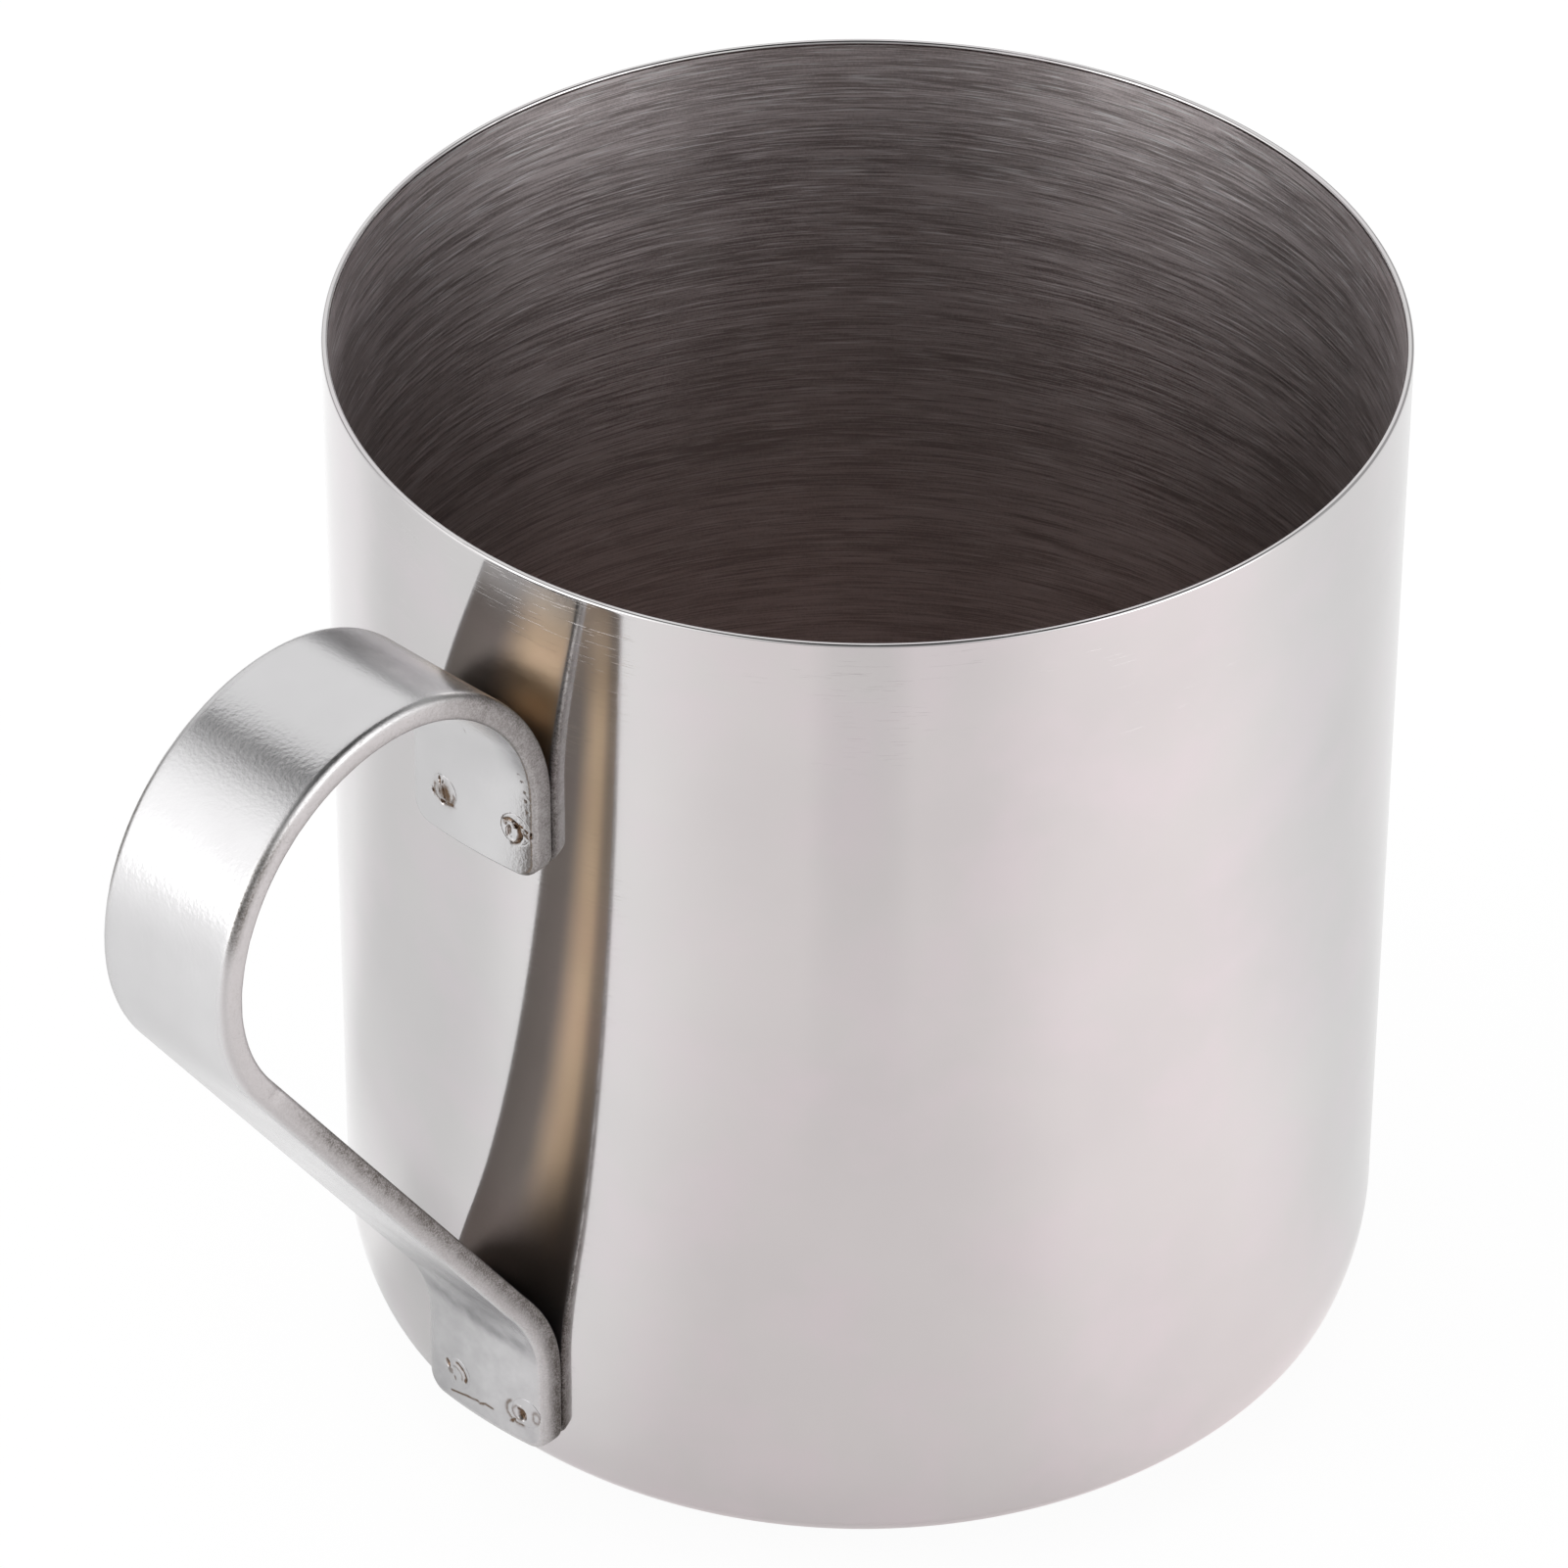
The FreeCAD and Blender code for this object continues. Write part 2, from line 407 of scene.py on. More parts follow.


# Tumbled strip: straw-coloured inside the loop, worn at its edges, burnt at the welds, with painted light on
# the lower arm and painted shade on its edges and the lower bend
def strapSteel(name):
    finish = strapFinish
    material, tree, shader = newMaterial(name)
    place, _, _, z = objectPlace(tree)
    noises = ("cloud", "peel", "grain", "speck", "smudge", "blotch")
    cloud, peel, grain, speck, smudge, blotch = (noiseNode(tree, place, *finish[key]) for key in noises)
    straw, gold, worn, sootAndShade, dullAndShade, burn = (attributeNode(tree, key) for key in finish["marks"])
    shade = rampNode(tree, cloud, *finish["cloudLevels"], 0, 1)
    steel = mixColor(tree, shade, finish["dark"], finish["light"])
    # Painted light: the lower arm's colour is made brighter
    steel = vectorNode(tree, "SCALE", steel, rampNode(tree, z, *finish["paintedArmLight"]))
    steel = mixColor(tree, straw, steel, mixColor(tree, gold, finish["brown"], finish["gold"]))
    # Dull finish, and painted shade on the lower bend and the tab
    dulledAndShaded = mathNode(tree, "MULTIPLY", dullAndShade, rampNode(tree, blotch, *finish["dullAndShadeBlotches"]), clamp=True)
    steel = mixColor(tree, dulledAndShaded, steel, finish["dullAndShade"])
    rubbed = mathNode(tree, "MULTIPLY", worn, rampNode(tree, speck, *finish["wornSpecks"]))
    steel = mixColor(tree, rubbed, steel, finish["worn"])
    # Edges darkened by soot and by painted shade, broken up by specks and smudges
    darkeningBreakup = rampNode(tree, speck, *finish["sootAndShadeSpecks"])
    darkeningBreakup = mathNode(tree, "MULTIPLY", darkeningBreakup, rampNode(tree, smudge, *finish["sootAndShadeSmudges"]))
    steel = mixColor(tree, mathNode(tree, "MULTIPLY", sootAndShade, darkeningBreakup, clamp=True), steel, finish["sootAndShadeColor"])
    charred = mathNode(tree, "MULTIPLY", burn, rampNode(tree, speck, *finish["burntSpecks"]), clamp=True)
    tree.links.new(mixColor(tree, charred, steel, finish["burnt"]), shader.inputs["Base Color"])
    rough = rampNode(tree, cloud, *finish["cloudLevels"], *finish["roughness"])
    added = finish["wornRoughness"] - finish["roughness"][0]
    rough = mathNode(tree, "MULTIPLY_ADD", worn, added, rough)
    rough = mathNode(tree, "MULTIPLY_ADD", straw, finish["tintedRoughness"], rough)
    tree.links.new(rough, shader.inputs["Roughness"])
    relief = bumpNode(tree, peel, finish["peelDepth"])
    relief = bumpNode(tree, grain, finish["grainDepth"], before=relief)
    pits = mathNode(tree, "MULTIPLY", rampNode(tree, speck, *finish["pitSpecks"]), worn)
    relief = bumpNode(tree, pits, finish["pitDepth"], before=relief)
    tree.links.new(relief, shader.inputs["Normal"])
    shader.inputs["Metallic"].default_value = 1
    return material


# The drawn cup: one sheet, turned round the axis

cup = {
    "wall": 0.5,
    "rimRound": 0.2,
    "drawInRadius": 16.0, "drawInTurn": 20.0,
    "knuckleRadius": 2.0, "knuckleTurn": 18.0,
    "heelRadius": 14.3,
    "footRing": 4.0,
    "panelRise": 1.0, "stepRadius": 1.6,
    "segments": 360,
    "runStep": 1.2, "bendStep": 0.4, "rimSteps": 4, "rimHold": 0.12,
    "waver": 0.03,          # how far the wall strays inwards from a true cylinder
    "waverRound": 1.3,      # how often it does so round the cup
    "waverRise": 45,        # and up it
    "waverFrom": 20,        # height at which it is in full
}
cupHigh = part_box("cup_shell")[1]
cupRadius = round(cupHigh.y / mm, 1)
cupHeight = round(cupHigh.z / mm, 1)


# Outside of the sheet from the axis up to the rim, then the inside back down to the axis
def cupSection():
    corner = [
        (cup["heelRadius"], 90 - cup["knuckleTurn"] - cup["drawInTurn"]),
        (cup["knuckleRadius"], cup["knuckleTurn"]),
        (cup["drawInRadius"], cup["drawInTurn"]),
    ]
    run, rise, heading = 0.0, 0.0, 0.0
    for radius, turn in corner:
        run += radius * (math.sin(math.radians(heading + turn)) - math.sin(math.radians(heading)))
        rise += radius * (math.cos(math.radians(heading)) - math.cos(math.radians(heading + turn)))
        heading += turn
    stepTurn = math.degrees(math.acos(1 - cup["panelRise"] / (2 * cup["stepRadius"])))
    stepRun = 2 * cup["stepRadius"] * math.sin(math.radians(stepTurn))
    moves = [
        (cupRadius - run - cup["footRing"] - stepRun, cup["stepRadius"], -stepTurn),
        (0, cup["stepRadius"], stepTurn),
        (cup["footRing"], *corner[0]), (0, *corner[1]), (0, *corner[2]),
        (cupHeight - rise - cup["rimRound"] - cup["rimHold"], 0, 0),
        (cup["rimHold"], 0, 0),
    ]
    outside = samplePath(moves, (0, cup["panelRise"]), 0, cup["runStep"], cup["bendStep"])
    section = [(point.x, point.y) for _, point, _ in outside]
    rim = cup["rimRound"]
    for edge, begin, first in ((cupRadius - rim, 0, 1), (cupRadius - cup["wall"] + rim, 90, 0)):
        for i in range(first, cup["rimSteps"] + 1):
            swing = math.radians(begin + 90 * i / cup["rimSteps"])
            section.append((edge + rim * math.cos(swing), cupHeight - rim + rim * math.sin(swing)))
    outerCount = len(section)
    for _, point, heading in reversed(outside[:-1]):
        inner = point + headingVector(heading + 90) * cup["wall"]
        section.append((inner.x, inner.y))
    return section, outerCount


def wallWaver(angle, height):
    often = cup["waverRound"]
    place = Vector((math.cos(angle) * often, math.sin(angle) * often, height / cup["waverRise"]))
    return cup["waver"] * (0.5 + 0.5 * noise.noise(place)) * setsIn(height, 0, cup["waverFrom"])


def makeCup():
    section, outerCount = cupSection()
    count = cup["segments"]
    points, faces, inside = [], [], []
    points.append((0, 0, section[0][1]))
    rings = section[1:-1]
    for r, z in rings:
        for i in range(count):
            angle = 2 * math.pi * i / count
            wide = r - wallWaver(angle, z)
            points.append((wide * math.cos(angle), wide * math.sin(angle), z))
    points.append((0, 0, section[-1][1]))
    for i in range(count):
        faces.append((0, 1 + (i + 1) % count, 1 + i))
        inside.append(0)
    for k in range(len(rings) - 1):
        here, there = 1 + k * count, 1 + (k + 1) * count
        for i in range(count):
            j = (i + 1) % count
            faces.append((here + i, here + j, there + j, there + i))
            inside.append(1 if k + 1 >= outerCount else 0)
    last = 1 + (len(rings) - 1) * count
    for i in range(count):
        faces.append((last + i, last + (i + 1) % count, len(points) - 1))
        inside.append(1)
    piece = meshPiece("drawn_cup", points, faces)
    piece.data.materials.append(outerSteel())
    piece.data.materials.append(innerSteel())
    piece.data.polygons.foreach_set("material_index", inside)
    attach(piece, "root")
    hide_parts("cup_shell")
    return piece


# The bent strap: a flat bar outline with rounded corners and edges, bent along its path

strap = {
    "width": 12.4, "thickness": 2.0,
    "belowRim": 3.0,
    "neckRadius": 15.2, "crownFlat": 0.2, "elbowRadius": 15.5, "instepRadius": 12.5,
    "upperTab": 6.8, "lowerTab": 7.5, "lowerEnd": 8.7,
    "corner": 1.7, "cornerSteps": 22,
    "edgeRound": (0.62, 0.38),  # on the loop's outside and on its inside
    "edgeSteps": 5, "sideSteps": 3,
    "pathStep": 0.25,
    "row": 0.5, "tabRow": 0.13,
    "fineBeyond": 3.6,      # how far the fine rows go on past the upper tab
    "columns": 96,
    "tumble": 0.035,        # unevenness of the tumbled edges
    "tumbleOften": (0.9, 2.0),  # along and across the strap, and through it
    "upperFade": 14.0, "lowerFade": 9.0,  # where the tabs' roundness runs out into the flat bar
    "nick": (68.3, 0.35, 0.16),  # a dent in the near edge: distance along, half length, depth
}
strapReach = round(-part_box("handle_strap")[0].x / mm, 1) - cupRadius

# Spot welds: where each lies from the tab's end and side, in mm
welds = {
    "upper_left": {"fromEnd": 4.1, "fromSide": 3.6},
    "upper_right": {"fromEnd": 4.1, "fromSide": 1.75},
    "lower_left": {"fromEnd": 3.4, "fromSide": 3.6},
    "lower_right": {"fromEnd": 3.4, "fromSide": 1.75},
}
nugget = {
    "radius": 1.3, "depth": 2.1,
    "rings": 30, "spokes": 72,
    "seat": 0.35, "seatGap": 0.06, "seatEase": 0.15,  # how the strap sinks under it
    "proud": 0.006,
}

# Marks left by the welding tips, in mm across (left positive) and up from each weld's middle:
# shape, across, up, half width, half height, lean, height, burn, and for an arc where it starts and ends
weldMarks = {
    "upper_left": [
        ("dome", 0.05, -0.15, 0.85, 1.0, 12, 0.10, 0.62),
        ("arc", 0.0, -0.25, 1.05, 0.95, 0, -0.05, 0.5, 150, 400),
        ("dome", -0.42, -0.2, 0.3, 0.8, 14, 0.03, 0.8),
        ("dome", 0.18, 0.75, 0.16, 0.6, -8, 0.10, 0.0),
        ("dome", 0.42, -0.1, 0.14, 0.75, 14, 0.09, 0.0),
        ("dome", -0.1, -0.3, 0.10, 0.6, 14, -0.12, 0.75),
        ("pit", 0.12, -1.08, 0.24, 0.22, 0, -0.24, 1.3),
        ("pit", 1.22, -0.66, 0.13, 0.35, 20, -0.14, 1.0),
        ("pit", 0.42, 0.78, 0.10, 0.38, 24, -0.08, 0.8),
        ("dome", -0.72, -0.95, 0.45, 0.14, 0, 0.05, 0.75),
    ],
    "upper_right": [
        ("arc", 0.42, -0.3, 0.74, 0.85, 10, 0.06, 0.25, 30, 300),
        ("arc", 0.42, -0.3, 0.92, 1.02, 10, -0.07, 0.75, 40, 290),
        ("pit", 0.62, -0.35, 0.20, 0.5, -12, -0.10, 0.55),
        ("arc", 0.0, -0.35, 0.46, 0.62, 0, -0.13, 1.0, 60, 250),
        ("dome", -0.15, -0.5, 0.30, 0.42, 0, 0.09, 0.0),
        ("pit", 0.02, 0.24, 0.16, 0.16, 0, -0.18, 1.2),
        ("dome", -0.95, -0.15, 0.85, 0.22, -28, 0.09, 0.45),
        ("pit", -0.40, 0.48, 0.30, 0.12, -18, -0.14, 1.3),
        ("pit", -0.95, 0.22, 0.18, 0.10, -30, -0.12, 1.2),
        ("pit", -1.38, 0.0, 0.14, 0.22, 20, -0.12, 1.3),
        ("pit", -1.62, -0.62, 0.20, 0.32, 10, -0.06, 0.8),
        ("dome", 0.05, -1.12, 0.16, 0.14, 0, 0.10, 0.0),
    ],
    "lower_left": [
        ("pit", 1.18, 0.30, 0.22, 0.36, 30, -0.20, 1.4),
        ("pit", 0.82, -0.25, 0.30, 0.30, 0, 0.04, 0.45),
        ("arc", 0.20, -0.30, 1.12, 1.12, 0, -0.06, 0.85, 78, 196),
        ("arc", 0.25, -0.35, 0.76, 0.80, 0, 0.05, 0.35, 60, 205),
        ("pit", -0.80, -0.42, 0.12, 0.24, 0, -0.06, 0.8),
        ("pit", 0.35, -0.78, 0.10, 0.26, 20, -0.05, 0.5),
    ],
    "lower_right": [
        ("arc", 0.62, -0.32, 1.30, 1.12, 0, -0.06, 0.62, -120, 62),
        ("arc", 0.55, -0.28, 0.72, 0.62, 0, 0.07, 0.4, -110, 110),
        ("pit", 0.38, -0.36, 0.38, 0.50, 14, -0.26, 1.0),
        ("dome", 0.22, -0.55, 0.16, 0.20, 0, 0.10, -0.6),
        ("pit", 0.66, 0.02, 0.16, 0.16, 0, -0.10, 1.3),
        ("pit", 1.40, -1.48, 0.18, 0.16, 0, -0.10, 1.1),
        ("pit", 1.12, -1.18, 0.12, 0.14, 0, -0.07, 0.9),
        ("arc", -0.95, -0.10, 0.30, 0.52, 0, -0.04, 0.42, 0, 360),
    ],
}

# How those shapes are drawn
markShapes = {
    "reach": 2.6,                        # no mark lies further from its weld
    "arcLine": 0.11, "arcEase": 18,      # half width of its line, and degrees over which it ends
    "pitEdge": 1.25, "pitEase": 0.55,    # as shares of its half width
    "domeFall": 1.4,
    "jag": 0.07, "jagOften": 3.2, "jagLayers": (2.0, 9.0),  # unevenness of their outlines
    "discRough": 0.014, "discOften": 1.4, "discEdge": 1.25, "discEase": 0.5,  # and of the weld's face
    "burnScale": 1.5, "burnLimit": 1.5,
}

# Smaller marks on the strap's tabs, in mm along the strap from the upper end and across it
smallPits = [(9.9, -5.1), (9.15, -5.3), (8.0, -5.45), (7.1, -5.5), (6.1, -5.6), (12.5, -0.6)]
smallPit = {"radius": 0.10, "edge": 1.5, "depth": 0.06, "burn": 0.45}
scratch = {
    # Across the strap, and above its lower end
    "points": [(3.4, 1.2), (1.8, 1.62), (0.5, 1.85), (0.25, 1.75), (-0.35, 2.05), (-1.1, 2.0)],
    "halfWidth": 0.075, "depth": 0.05, "burn": 1.3,
}


def strapMoves():
    crownRadius = strapReach - strap["neckRadius"] - strap["crownFlat"]
    elbowHeight = cupHeight - strap["belowRim"] - crownRadius
    radii = strap["elbowRadius"] + strap["instepRadius"]
    sideways = strapReach - strap["thickness"] - radii
    downwards = elbowHeight - strap["lowerEnd"] - strap["lowerTab"]
    arm = math.sqrt(sideways ** 2 + downwards ** 2 - radii ** 2)
    lean = math.degrees(math.atan2(sideways, downwards) + math.atan2(radii, arm))
    return [
        (strap["upperTab"], strap["neckRadius"], -90),
        (strap["crownFlat"], crownRadius, -90),
        (0, strap["elbowRadius"], -lean),
        (arm, strap["instepRadius"], lean),
        (strap["lowerTab"], 0, 0),
    ]


upperEnd = cupHeight - strap["belowRim"] - strap["neckRadius"] - strap["upperTab"]
strapPath = samplePath(strapMoves(), (cupRadius, upperEnd), 90, strap["pathStep"], strap["pathStep"])
strapLength = strapPath[-1][0]
bendEnd = strapLength - strap["lowerTab"]


# Point and heading on the strap's outer face, a distance from the upper tab's end
def pathAt(distance):
    low, high = 0, len(strapPath) - 1
    while high - low > 1:
        middle = (low + high) // 2
        if strapPath[middle][0] <= distance:
            low = middle
        else:
            high = middle
    before, after = strapPath[low], strapPath[high]
    share = (distance - before[0]) / (after[0] - before[0])
    return before[1].lerp(after[1], share), before[2] + (after[2] - before[2]) * share


# Flat bar coordinates to the bent strap. Depth is from the outer loop face inwards
def strapPlace(along, across, depth):
    point, heading = pathAt(along)
    point = point + headingVector(heading - 90) * depth
    upper = runsOut(along, strap["upperTab"], strap["upperFade"])
    lower = runsOut(bendEnd - along, 0, strap["lowerFade"])
    formed = math.sqrt(point.x ** 2 - across ** 2)
    out = point.x + (formed - point.x) * max(upper, lower)
    return (-out, across, point.y)


# Distance along the strap and across it of a spot weld
def weldSpot(name):
    tab, side = name.split("_")
    spot = welds[name]
    along = spot["fromEnd"] if tab == "upper" else strapLength - spot["fromEnd"]
    across = (strap["width"] / 2 - spot["fromSide"]) * (1 if side == "left" else -1)
    return along, across


# Height and burn that one weld mark gives at a place
def markShape(mark, across, up):
    shape, middleAcross, middleUp, wide, tall, lean, height, burn, *span = mark
    swing = math.radians(lean)
    a, b = across - middleAcross, up - middleUp
    turned = (a * math.cos(swing) - b * math.sin(swing)) / wide
    risen = (a * math.sin(swing) + b * math.cos(swing)) / tall
    far = math.hypot(turned, risen)
    if shape == "arc":
        strength = math.exp(-((far - 1) * min(wide, tall) / markShapes["arcLine"]) ** 2)
        angle = (math.degrees(math.atan2(risen, turned)) - span[0]) % 360
        width = span[1] - span[0]
        if width < 360:
            strength *= setsIn(min(angle, width - angle), 0, markShapes["arcEase"]) if angle < width else 0
    elif shape == "pit":
        strength = setsIn(markShapes["pitEdge"] - far, 0, markShapes["pitEase"])
    else:
        strength = math.exp(-markShapes["domeFall"] * far ** 2)
    return height * strength, burn * strength


def segmentDistance(place, start, end):
    along = end - start
    share = min(max((place - start).dot(along) / along.length_squared, 0), 1)
    return (place - start - along * share).length


# Height and burn of the welding marks on the face of a tab that looks away from the cup
def tabMarks(along, across, face):
    height, burn = 0.0, 0.0
    for name, marks in weldMarks.items():
        upper = name.startswith("upper")
        if upper != (face == 1):
            continue
        spotAlong, spotAcross = weldSpot(name)
        a = across - spotAcross
        b = (along - spotAlong) * (1 if upper else -1)
        if math.hypot(a, b) > markShapes["reach"]:
            continue
        often = markShapes["jagOften"]
        jag, otherJag = (Vector((along * often, across * often, layer)) for layer in markShapes["jagLayers"])
        a += markShapes["jag"] * noise.noise(jag)
        b += markShapes["jag"] * noise.noise(otherJag)
        for mark in marks:
            up, heat = markShape(mark, a, b)
            height += up
            burn += heat
        near = setsIn(markShapes["discEdge"] - math.hypot(a, b), 0, markShapes["discEase"])
        rough = layeredNoise(jag * markShapes["discOften"])
        height += markShapes["discRough"] * near * rough
    if face == 1:
        for pitAlong, pitAcross in smallPits:
            far = math.hypot(along - pitAlong, across - pitAcross) / smallPit["radius"]
            near = smoothStep(smallPit["edge"] - far)
            height -= smallPit["depth"] * near
            burn += smallPit["burn"] * near
    elif along > bendEnd:
        place = Vector((across, strapLength - along))
        points = [Vector(point) for point in scratch["points"]]
        near = min(segmentDistance(place, a, b) for a, b in zip(points, points[1:]))
        groove = math.exp(-(near / scratch["halfWidth"]) ** 2)
        height -= scratch["depth"] * groove
        burn += scratch["burn"] * groove
    return height, min(max(markShapes["burnScale"] * burn, 0.0), markShapes["burnLimit"])


# How deep the strap is sunk under a nugget. Face 1 is the loop's inside, 0 its outside
def weldSeat(along, across, face):
    for name in welds:
        if name.startswith("upper") != (face == 1):
            continue
        spotAlong, spotAcross = weldSpot(name)
        far = math.hypot(along - spotAlong, across - spotAcross)
        if far < nugget["radius"]:
            return nugget["seat"] * setsIn(nugget["radius"] - nugget["seatGap"] - far, 0, nugget["seatEase"])
    return 0.0


# Rows along the bar for an outline drawn in by an inset: (along, half width)
def strapStations(inset):
    corner, half = strap["corner"], strap["width"] / 2
    ends = []
    for i in range(strap["cornerSteps"]):
        swing = math.pi / 2 * i / strap["cornerSteps"]
        ends.append((inset + (corner - inset) * (1 - math.cos(swing)),
                     half - corner + (corner - inset) * math.sin(swing)))
    middle = []
    along = corner
    while along < strapLength - corner - 0.5 * strap["tabRow"]:
        middle.append((along, half - inset))
        inTab = along < strap["upperTab"] + strap["fineBeyond"] or along > bendEnd - strap["row"]
        along += strap["tabRow"] if inTab else strap["row"]
    middle.append((strapLength - corner, half - inset))
    return ends + middle + [(strapLength - a, b) for a, b in reversed(ends)]


# How far the tumbled edge lies inside a true one
def edgeDent(along, across, depth):
    often, through = strap["tumbleOften"]
    place = Vector((along * often, across * often, depth * through))
    dent = strap["tumble"] * max(layeredNoise(place), 0.0)
    nickAlong, nickLength, nickDepth = strap["nick"]
    if across < 0:
        near = math.exp(-((along - nickAlong) / nickLength) ** 2)
        dent += nickDepth * near * setsIn(depth, 0, strap["thickness"])
    return dent


# Where the strap is marked and how strongly. A pair says where a mark sets in or runs out and over what
# length: mm along the strap or across it, or shares of its thickness from the loop's outside
heatTint = {
    "insideFrom": (5.5, 9), "insideTo": 5,        # past the upper tab, and before the lower one
    "neckFrom": (2, 4), "neckTo": (17, 7),        # on the side of the neck that faces the wall
    "goldAcross": (-2.8, 4.6),
    "goldEven": 0.35, "goldEvenTo": (60, 12),     # up to there gold and brown aren't apart
    "goldTo": (103, 10),
    "goldEdge": 0.7, "goldEdgeFrom": (3.1, 1.7),  # what the right edge loses
    "lowerBurn": 0.2, "lowerBurnFrom": (-12, 6),
}
dullAndShadePatch = {
    "inside": 0.9, "insideReach": 3.2, "insideFrom": (8, 4), "insideTo": (15, 4),
    "neck": 0.45, "neckFrom": (21, 3), "neckTo": (25, 4.5),
    "bend": 0.82, "bendFrom": 22, "bendOver": 12, "bendLean": 0.9,
    "tab": 0.34, "tabFrom": (-3.1, 1.6), "tabLean": 0.1,
    "tabEnd": 0.08, "tabEndFrom": (3.5, 3),
}
# Where the edges darken: soot on the neck, painted shade in the line beside the crown, and painted shadow
# lower down towards the loop's inside
edgeSootAndShade = {
    "neck": 0.66, "neckTo": (20, 9), "neckLeft": 0.25, "neckRightFrom": (2, 3.5),
    "neckOutside": 1.25, "neckLoss": 0.4, "neckLossOver": 0.6,
    "line": 0.8, "lineFrom": (40, 6), "lineTo": (50, 4), "lineDepth": (0.22, 0.16),
    "under": 0.22, "underFrom": (24, 5), "underTo": (43, 5), "underDepth": (0.6, 0.12),
    "armOutside": 0.2, "armInside": 0.66, "armFrom": (66, 14), "armDepth": (0.25, 0.5),
    "tab": 0.16, "tabFrom": (112, 5), "tabDepth": (0.1, 0.2),
    "border": 0.4, "borderReach": 1.6, "borderTo": (10, 6),
}
wornEdge = {"onFace": 0.35, "faceReach": 0.5, "roundingLoss": 0.7}


# How strongly the strap is heat tinted: inside the loop between the tabs, and on the neck that faces the wall
def strawTint(along, face):
    if face == 1:
        start = setsIn(along - strap["upperTab"], *heatTint["insideFrom"])
        return start * setsIn(bendEnd - along, 0, heatTint["insideTo"])
    return setsIn(along, *heatTint["neckFrom"]) * runsOut(along, *heatTint["neckTo"])


# 1 where the tint is gold, towards the right edge, and 0 where it is brown
def goldTint(along, across, face):
    gold = runsOut(across, *heatTint["goldAcross"])
    if face == 1:
        gold += (heatTint["goldEven"] - gold) * runsOut(along, *heatTint["goldEvenTo"])
        lost = heatTint["goldEdge"] * setsIn(-across, *heatTint["goldEdgeFrom"])
        gold *= runsOut(along, *heatTint["goldTo"]) * (1 - lost)
    return gold


# Dull patches outside the neck and inside it along the right edge, and on the bend above the lower tab and
# the tab, partly dull, partly painted shade
def dullAndShadeTint(along, across, face):
    if face == 1:
        near = runsOut(strap["width"] / 2 + across, 0, dullAndShadePatch["insideReach"])
        onNeck = setsIn(along, *dullAndShadePatch["insideFrom"]) * runsOut(along, *dullAndShadePatch["insideTo"])
        return dullAndShadePatch["inside"] * near * onNeck
    # Painted shade on the bend above the lower tab and on the tab, together with a duller finish
    top = bendEnd - dullAndShadePatch["bendFrom"] + dullAndShadePatch["bendLean"] * (max(across, -1) - 1)
    tab = setsIn(along - bendEnd + dullAndShadePatch["tabLean"] * across, *dullAndShadePatch["tabFrom"])
    onTab = dullAndShadePatch["tab"] + dullAndShadePatch["tabEnd"] * setsIn(along - bendEnd, *dullAndShadePatch["tabEndFrom"])
    neck = dullAndShadePatch["neck"] * setsIn(along, *dullAndShadePatch["neckFrom"]) * runsOut(along, *dullAndShadePatch["neckTo"])
    bend = setsIn(along - top, 0, dullAndShadePatch["bendOver"])
    return neck + bend * (dullAndShadePatch["bend"] * (1 - tab) + onTab * tab)


# Darker edges: soot on the right of the neck, painted shade in a line beside the crown, darker below it, and
# lower down painted shadow towards the loop's inside
def edgeSootAndShadeAt(along, across, depth):
    share = depth / strap["thickness"]
    right = edgeSootAndShade["neckLeft"] + (1 - edgeSootAndShade["neckLeft"]) * setsIn(-across, *edgeSootAndShade["neckRightFrom"])
    outside = edgeSootAndShade["neckOutside"] - edgeSootAndShade["neckLoss"] * setsIn(share, 0, edgeSootAndShade["neckLossOver"])
    neck = edgeSootAndShade["neck"] * right * outside * runsOut(along, *edgeSootAndShade["neckTo"])
    # A line of painted shade on the outer rounding beside the crown
    line = setsIn(along, *edgeSootAndShade["lineFrom"]) * runsOut(along, *edgeSootAndShade["lineTo"])
    line *= edgeSootAndShade["line"] * runsOut(share, *edgeSootAndShade["lineDepth"])
    under = setsIn(along, *edgeSootAndShade["underFrom"]) * runsOut(along, *edgeSootAndShade["underTo"])
    under *= edgeSootAndShade["under"] * setsIn(share, *edgeSootAndShade["underDepth"])
    # Painted shadow on the arm's edge, stronger towards the loop's inside
    arm = edgeSootAndShade["armOutside"] + edgeSootAndShade["armInside"] * setsIn(share, *edgeSootAndShade["armDepth"])
    arm *= setsIn(along, *edgeSootAndShade["armFrom"])
    tab = edgeSootAndShade["tab"] * setsIn(along, *edgeSootAndShade["tabFrom"]) * setsIn(share, *edgeSootAndShade["tabDepth"])
    return neck + line + under + arm + tab


# And darker on the border of the upper tab along its right edge
def tabBorderDarkening(along, across, face):
    near = runsOut(strap["width"] / 2 + across, 0, edgeSootAndShade["borderReach"])
    return face * edgeSootAndShade["border"] * near * runsOut(along, *edgeSootAndShade["borderTo"])


